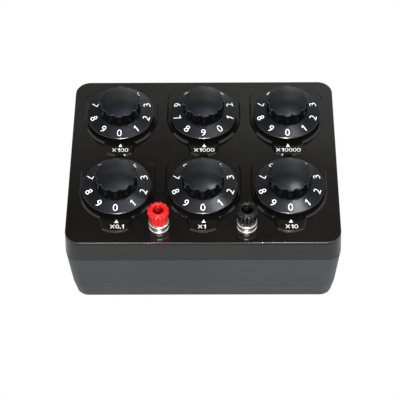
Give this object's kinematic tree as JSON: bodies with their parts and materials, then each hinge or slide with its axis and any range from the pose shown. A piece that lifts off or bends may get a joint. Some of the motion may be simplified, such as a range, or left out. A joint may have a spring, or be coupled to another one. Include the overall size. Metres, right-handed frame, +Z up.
{
  "type": "resistance decade box",
  "caption": "Low black plastic case with dials under round skirted knobs in two rows on its top panel, and a red and a black binding post in front.",
  "frame": {"origin": "middle of the box at the plane it stands on", "axes": "+X to the right and +Y to the back, seen from the binding posts' side; +Z up"},
  "size_m": [0.1822, 0.1406, 0.0877],
  "materials": {
    "case_plastic": "glossy black moulding",
    "base_plastic": "satin black moulding",
    "knob_plastic": "satin gloss black",
    "red_plastic": "glossy red",
    "black_plastic": "glossy black",
    "nickel": "bright nickel plate",
    "brass": "turned",
    "steel": "zinc plated",
    "phenolic": "laminate",
    "resistor_body": "lacquered",
    "wire_insulation": "smooth",
    "rubber": "moulded"
  },
  "bodies": {
    "case": {"base_case": "base_plastic", "black_stud": "nickel", "bush_nuts": "brass", "bush_washers": "steel", "bushes": "brass", "case_screws": "steel", "deck_pillars": "brass", "deck_screws": "steel", "detent_rollers": "steel", "detent_springs": "steel", "index_plates": "steel", "link_wires": "wire_insulation", "post_lugs": "brass", "post_nuts": "brass", "post_washers": "phenolic", "red_stud": "nickel", "resistors_x01": "resistor_body", "resistors_x1": "resistor_body", "resistors_x10": "resistor_body", "resistors_x100": "resistor_body", "resistors_x1000": "resistor_body", "resistors_x10000": "resistor_body", "rubber_feet": "rubber", "switch_contacts": "brass", "switch_decks": "phenolic", "upper_cover": "case_plastic"},
    "dial_x01": {"knob_x01": "knob_plastic", "shaft_x01": "steel", "star_wheel_x01": "steel", "wiper_x01": "brass"},
    "dial_x1": {"knob_x1": "knob_plastic", "shaft_x1": "steel", "star_wheel_x1": "steel", "wiper_x1": "brass"},
    "dial_x10": {"knob_x10": "knob_plastic", "shaft_x10": "steel", "star_wheel_x10": "steel", "wiper_x10": "brass"},
    "dial_x100": {"knob_x100": "knob_plastic", "shaft_x100": "steel", "star_wheel_x100": "steel", "wiper_x100": "brass"},
    "dial_x1000": {"knob_x1000": "knob_plastic", "shaft_x1000": "steel", "star_wheel_x1000": "steel", "wiper_x1000": "brass"},
    "dial_x10000": {"knob_x10000": "knob_plastic", "shaft_x10000": "steel", "star_wheel_x10000": "steel", "wiper_x10000": "brass"},
    "red_clamp": {"red_insert": "nickel"},
    "red_handle": {"red_cap": "red_plastic"},
    "black_clamp": {"black_insert": "nickel"},
    "black_handle": {"black_cap": "black_plastic"}
  },
  "joints": [
    {"name": "dial_x01_turn", "type": "hinge", "parent": "case", "child": "dial_x01", "pos_m": [-0.0572, -0.0271, 0.0675], "axis": [0, 0, 1], "continuous": true},
    {"name": "dial_x1_turn", "type": "hinge", "parent": "case", "child": "dial_x1", "pos_m": [0, -0.0271, 0.0675], "axis": [0, 0, 1], "continuous": true},
    {"name": "dial_x10_turn", "type": "hinge", "parent": "case", "child": "dial_x10", "pos_m": [0.0572, -0.0271, 0.0675], "axis": [0, 0, 1], "continuous": true},
    {"name": "dial_x100_turn", "type": "hinge", "parent": "case", "child": "dial_x100", "pos_m": [-0.0572, 0.036, 0.0675], "axis": [0, 0, 1], "continuous": true},
    {"name": "dial_x1000_turn", "type": "hinge", "parent": "case", "child": "dial_x1000", "pos_m": [0, 0.036, 0.0675], "axis": [0, 0, 1], "continuous": true},
    {"name": "dial_x10000_turn", "type": "hinge", "parent": "case", "child": "dial_x10000", "pos_m": [0.0572, 0.036, 0.0675], "axis": [0, 0, 1], "continuous": true},
    {"name": "red_cap_turn", "type": "hinge", "parent": "red_clamp", "child": "red_handle", "pos_m": [-0.0286, -0.056, 0.0675], "axis": [0, 0, 1], "range_deg": [0, 1440]},
    {"name": "red_cap_lift", "type": "slide", "parent": "case", "child": "red_clamp", "axis": [0, 0, 1], "range_m": [0, 0.004]},
    {"name": "black_cap_turn", "type": "hinge", "parent": "black_clamp", "child": "black_handle", "pos_m": [0.0286, -0.056, 0.0675], "axis": [0, 0, 1], "range_deg": [0, 1440]},
    {"name": "black_cap_lift", "type": "slide", "parent": "case", "child": "black_clamp", "axis": [0, 0, 1], "range_m": [0, 0.004]}
  ],
  "couplings": [
    {"joint": "red_cap_turn", "follows": "red_cap_lift", "rad_per_m": 6283.2},
    {"joint": "black_cap_turn", "follows": "black_cap_lift", "rad_per_m": 6283.2}
  ]
}
